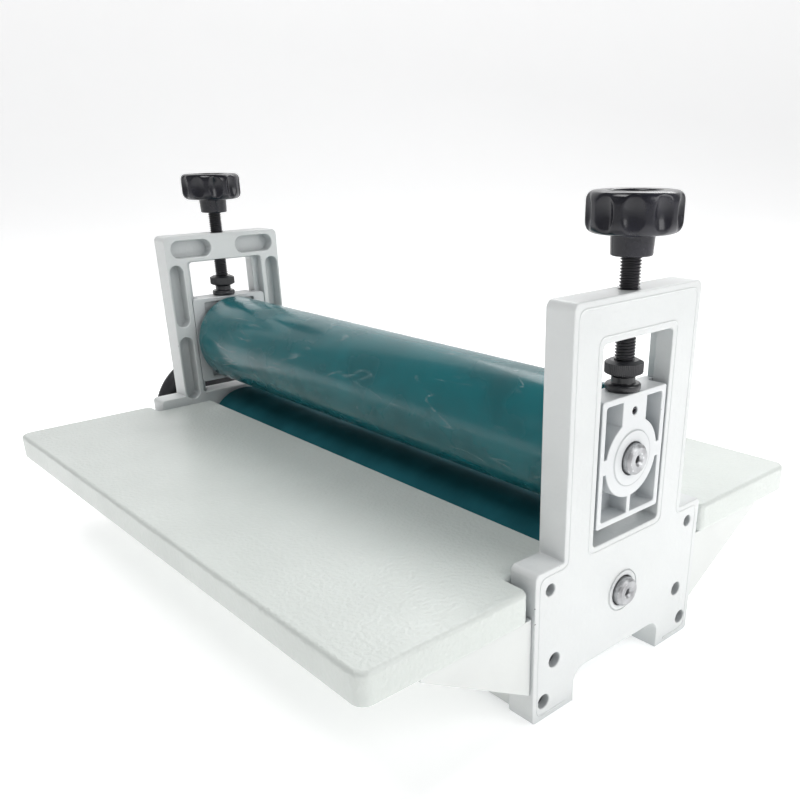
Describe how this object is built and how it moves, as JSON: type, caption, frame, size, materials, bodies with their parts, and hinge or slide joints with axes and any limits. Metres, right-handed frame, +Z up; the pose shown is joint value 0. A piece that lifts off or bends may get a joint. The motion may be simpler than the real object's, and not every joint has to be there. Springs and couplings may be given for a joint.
{
  "type": "cold roll laminator",
  "caption": "Desktop cold roll laminator: two cast end frames, a feed table each side, a hand-turned lower rubber roller and an upper roller set by pressure screws.",
  "frame": {"origin": "on the floor under the centre of the whole machine's box, handwheel and knobs included; the roller axes lie over the x axis and the middle of the frames is 46.25 mm towards +X", "axes": "+X along the rollers, away from the handwheel; the feed table is at -Y and the outfeed table at +Y; +Z up"},
  "size_m": [0.5394, 0.343, 0.2534],
  "materials": {
    "frame_paint": "white gloss powder coat on a die casting",
    "block_paint": "white gloss paint on a small die casting",
    "table_paint": "pale grey-green fine orange-peel powder coat on sheet steel",
    "sheet_paint": "white powder coat on sheet steel",
    "black_oxide_screw": "black-oxide socket screws",
    "zinc_steel": "zinc-plated",
    "bronze": "oiled sintered bronze",
    "black_steel": "oiled black-oxide steel, threaded and knurled",
    "knob_plastic": "glossy black moulded phenolic",
    "shaft_steel": "turned steel",
    "core_steel": "plain steel tube",
    "roller_rubber": "ground dark teal rubber, the upper roller still in its clear film",
    "wheel_plastic": "black moulded wheel",
    "grip_plastic": "black moulded revolving handle"
  },
  "bodies": {
    "frame": {"right_frame": "frame_paint", "left_frame": "frame_paint", "front_table": "table_paint", "rear_table": "table_paint", "front_right_bracket": "sheet_paint", "front_left_bracket": "sheet_paint", "rear_right_bracket": "sheet_paint", "rear_left_bracket": "sheet_paint", "front_cross_member": "sheet_paint", "rear_cross_member": "sheet_paint", "frame_screws": "black_oxide_screw", "frame_nuts": "zinc_steel", "table_screws": "black_oxide_screw", "table_nuts": "zinc_steel", "bracket_frame_screws": "zinc_steel", "bracket_table_screws": "zinc_steel", "bracket_table_nuts": "zinc_steel", "right_lower_bush": "bronze", "left_lower_bush": "bronze"},
    "carriage": {"right_bearing_block": "block_paint", "left_bearing_block": "block_paint", "right_upper_bush": "bronze", "left_upper_bush": "bronze", "right_retaining_screw": "black_oxide_screw", "left_retaining_screw": "black_oxide_screw"},
    "right_pressure_screw": {"right_spindle": "black_steel", "right_lock_nut": "black_steel", "right_knob": "knob_plastic"},
    "left_pressure_screw": {"left_spindle": "black_steel", "left_lock_nut": "black_steel", "left_knob": "knob_plastic"},
    "upper_roller": {"upper_shaft": "shaft_steel", "upper_end_plugs": "core_steel", "upper_tube": "core_steel", "upper_rubber": "roller_rubber"},
    "lower_roller": {"lower_shaft": "shaft_steel", "lower_end_plugs": "core_steel", "lower_tube": "core_steel", "lower_rubber": "roller_rubber", "handwheel": "wheel_plastic", "wheel_washer": "zinc_steel", "wheel_screw": "zinc_steel", "hub_set_screw": "black_oxide_screw", "handle_bolt": "zinc_steel"},
    "grip": {"handle_grip": "grip_plastic"}
  },
  "joints": [
    {"name": "right_knob_turn", "type": "hinge", "parent": "carriage", "child": "right_pressure_screw", "pos_m": [0.24775, 0, 0.1615], "axis": [0, 0, 1], "range_deg": [-1985, 2885]},
    {"name": "left_knob_turn", "type": "hinge", "parent": "carriage", "child": "left_pressure_screw", "pos_m": [-0.15525, 0, 0.1615], "axis": [0, 0, 1], "range_deg": [-1985, 2885]},
    {"name": "carriage_lift", "type": "slide", "parent": "frame", "child": "carriage", "axis": [0, 0, 1], "range_m": [-0.00825, 0.012]},
    {"name": "upper_roller_spin", "type": "hinge", "parent": "carriage", "child": "upper_roller", "pos_m": [0.04625, 0, 0.128], "axis": [1, 0, 0], "continuous": true},
    {"name": "lower_roller_spin", "type": "hinge", "parent": "frame", "child": "lower_roller", "pos_m": [0.04625, 0, 0.053], "axis": [1, 0, 0], "continuous": true},
    {"name": "grip_spin", "type": "hinge", "parent": "lower_roller", "child": "grip", "pos_m": [-0.24025, 0, 0.018], "axis": [1, 0, 0], "continuous": true}
  ],
  "couplings": [
    {"joint": "right_knob_turn", "follows": "carriage_lift", "rad_per_m": 4188.8},
    {"joint": "left_knob_turn", "follows": "carriage_lift", "rad_per_m": 4188.8}
  ]
}
